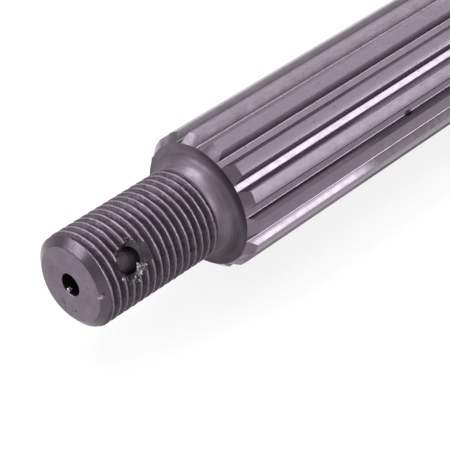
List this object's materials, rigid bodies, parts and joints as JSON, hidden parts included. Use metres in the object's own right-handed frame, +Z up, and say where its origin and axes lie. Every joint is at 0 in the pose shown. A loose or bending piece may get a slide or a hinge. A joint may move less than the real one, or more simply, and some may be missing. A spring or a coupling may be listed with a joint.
{
  "type": "outboard propeller shaft",
  "caption": "Steel propeller shaft of an outboard engine: threaded end with a split-pin hole, driving splines, journals, clutch splines and a pilot end.",
  "frame": {"origin": "middle of the shaft's length, right under its axis, on the surface that its large journal lies on", "axes": "+X along the shaft from the propeller's end to the gearcase's end, +Z up, +Y level across the shaft; the picture looks from -X, -Y and above"},
  "size_m": [0.2912, 0.03, 0.03],
  "materials": {
    "steel": "turned and ground, satin"
  },
  "bodies": {
    "root": {"propeller_shaft": "steel"}
  },
  "joints": []
}
